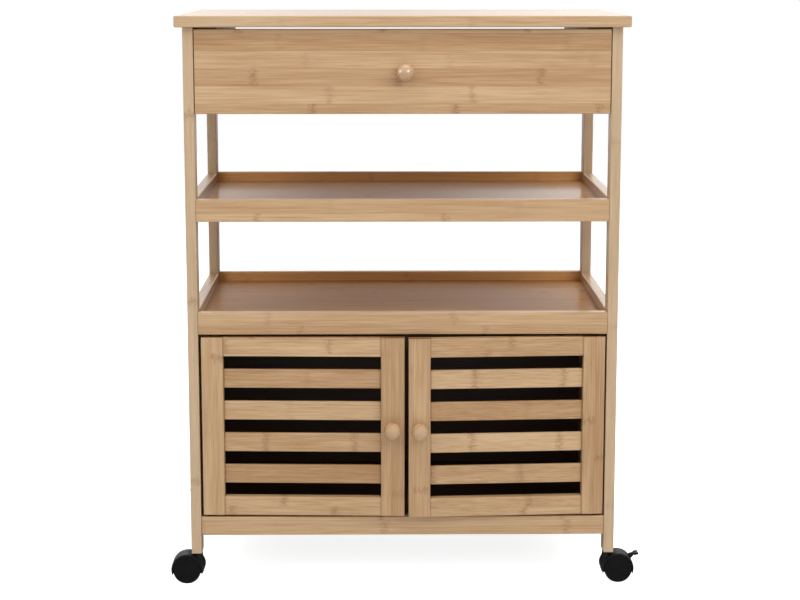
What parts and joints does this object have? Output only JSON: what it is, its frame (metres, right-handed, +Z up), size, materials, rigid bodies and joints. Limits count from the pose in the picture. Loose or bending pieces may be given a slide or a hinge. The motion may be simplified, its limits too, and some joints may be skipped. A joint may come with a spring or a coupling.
{
  "type": "kitchen cart with drawer and slatted doors",
  "caption": "Rolling kitchen cart in laminated bamboo with a top board, a drawer, open tray shelves, a cabinet with slatted doors and hooded castors.",
  "frame": {"origin": "centre of the bounding box at floor level, under the middle of the cart", "axes": "+Z up, -Y out of the cart's front (drawer and doors), +X to the right when one looks at the front"},
  "size_m": [0.6528, 0.4088, 0.775],
  "materials": {
    "bamboo": "satin lacquer over laminated bamboo",
    "inner_bamboo": "satin, unlacquered bamboo strips",
    "panel": "glossy warm brown lacquer on bamboo board",
    "knob_wood": "satin turned wood",
    "castor_plastic": "satin black moulded plastic",
    "castor_tyre": "matte black plastic wheels",
    "catch_plastic": "matte brown plastic",
    "steel": "zinc-plated steel",
    "socket_brass": "brass insert"
  },
  "bodies": {
    "frame": {"top_board": "bamboo", "front_left_post": "bamboo", "front_right_post": "bamboo", "rear_left_post": "bamboo", "rear_right_post": "bamboo", "upper_side_boards": "bamboo", "upper_rear_rail": "bamboo", "top_cleats": "inner_bamboo", "drawer_runners": "inner_bamboo", "upper_shelf_front_rail": "bamboo", "upper_shelf_rear_rail": "bamboo", "upper_shelf_left_rail": "bamboo", "upper_shelf_right_rail": "bamboo", "upper_shelf_panel": "panel", "lower_shelf_front_rail": "bamboo", "lower_shelf_rear_rail": "bamboo", "lower_shelf_left_rail": "bamboo", "lower_shelf_right_rail": "bamboo", "lower_shelf_panel": "panel", "cabinet_left_panel": "bamboo", "cabinet_right_panel": "bamboo", "cabinet_back_panel": "inner_bamboo", "cabinet_floor": "panel", "base_front_rail": "bamboo", "base_rear_rail": "bamboo", "door_catch": "catch_plastic", "door_pivot_pins": "steel", "frame_screws": "steel", "castor_sockets": "socket_brass", "castor_stems": "steel"},
    "drawer": {"drawer_front": "bamboo", "drawer_sides": "bamboo", "drawer_back": "bamboo", "drawer_bottom": "panel", "drawer_knob": "knob_wood", "drawer_knob_screw": "steel"},
    "left_door": {"left_door_hinge_stile": "bamboo", "left_door_meeting_stile": "bamboo", "left_door_top_rail": "bamboo", "left_door_bottom_rail": "bamboo", "left_door_slats": "bamboo", "left_door_knob": "knob_wood", "left_door_fittings": "steel"},
    "right_door": {"right_door_hinge_stile": "bamboo", "right_door_meeting_stile": "bamboo", "right_door_top_rail": "bamboo", "right_door_bottom_rail": "bamboo", "right_door_slats": "bamboo", "right_door_knob": "knob_wood", "right_door_fittings": "steel"},
    "front_left_castor": {"front_left_castor_hood": "castor_plastic"},
    "front_left_wheels": {"front_left_castor_wheels": "castor_tyre"},
    "front_right_castor": {"front_right_castor_hood": "castor_plastic"},
    "front_right_wheels": {"front_right_castor_wheels": "castor_tyre"},
    "rear_left_castor": {"rear_left_castor_hood": "castor_plastic"},
    "rear_left_wheels": {"rear_left_castor_wheels": "castor_tyre"},
    "rear_right_castor": {"rear_right_castor_hood": "castor_plastic"},
    "rear_right_wheels": {"rear_right_castor_wheels": "castor_tyre"},
    "front_right_brake": {"front_right_brake_lever": "castor_plastic"},
    "rear_left_brake": {"rear_left_brake_lever": "castor_plastic"}
  },
  "joints": [
    {"name": "drawer_slide", "type": "slide", "parent": "frame", "child": "drawer", "axis": [0, -1, 0], "range_m": [0, 0.241]},
    {"name": "left_door_hinge", "type": "hinge", "parent": "frame", "child": "left_door", "pos_m": [-0.2623, -0.1586, 0.0979], "axis": [0, 0, -1], "range_deg": [-1.9, 108.1]},
    {"name": "right_door_hinge", "type": "hinge", "parent": "frame", "child": "right_door", "pos_m": [0.2636, -0.1586, 0.0979], "axis": [0, 0, 1], "range_deg": [-3.4, 106.6]},
    {"name": "front_left_swivel", "type": "hinge", "parent": "frame", "child": "front_left_castor", "pos_m": [-0.283, -0.1506, 0.0408], "axis": [0, 0, 1], "continuous": true},
    {"name": "front_left_roll", "type": "hinge", "parent": "front_left_castor", "child": "front_left_wheels", "pos_m": [-0.297, -0.1506, 0.019], "axis": [0, 1, 0], "continuous": true},
    {"name": "front_right_swivel", "type": "hinge", "parent": "frame", "child": "front_right_castor", "pos_m": [0.283, -0.1506, 0.0408], "axis": [0, 0, 1], "continuous": true},
    {"name": "front_right_roll", "type": "hinge", "parent": "front_right_castor", "child": "front_right_wheels", "pos_m": [0.297, -0.1506, 0.019], "axis": [0, 1, 0], "continuous": true},
    {"name": "rear_left_swivel", "type": "hinge", "parent": "frame", "child": "rear_left_castor", "pos_m": [-0.283, 0.1794, 0.0408], "axis": [0, 0, 1], "continuous": true},
    {"name": "rear_left_roll", "type": "hinge", "parent": "rear_left_castor", "child": "rear_left_wheels", "pos_m": [-0.297, 0.1794, 0.019], "axis": [0, 1, 0], "continuous": true},
    {"name": "rear_right_swivel", "type": "hinge", "parent": "frame", "child": "rear_right_castor", "pos_m": [0.283, 0.1794, 0.0408], "axis": [0, 0, 1], "continuous": true},
    {"name": "rear_right_roll", "type": "hinge", "parent": "rear_right_castor", "child": "rear_right_wheels", "pos_m": [0.297, 0.1794, 0.019], "axis": [0, 1, 0], "continuous": true},
    {"name": "front_right_brake_lever", "type": "hinge", "parent": "front_right_castor", "child": "front_right_brake", "pos_m": [0.31021, -0.1506, 0.03048], "axis": [0, 1, 0], "range_deg": [0, 18]},
    {"name": "rear_left_brake_lever", "type": "hinge", "parent": "rear_left_castor", "child": "rear_left_brake", "pos_m": [-0.31021, 0.1794, 0.03048], "axis": [0, -1, 0], "range_deg": [0, 18]}
  ]
}
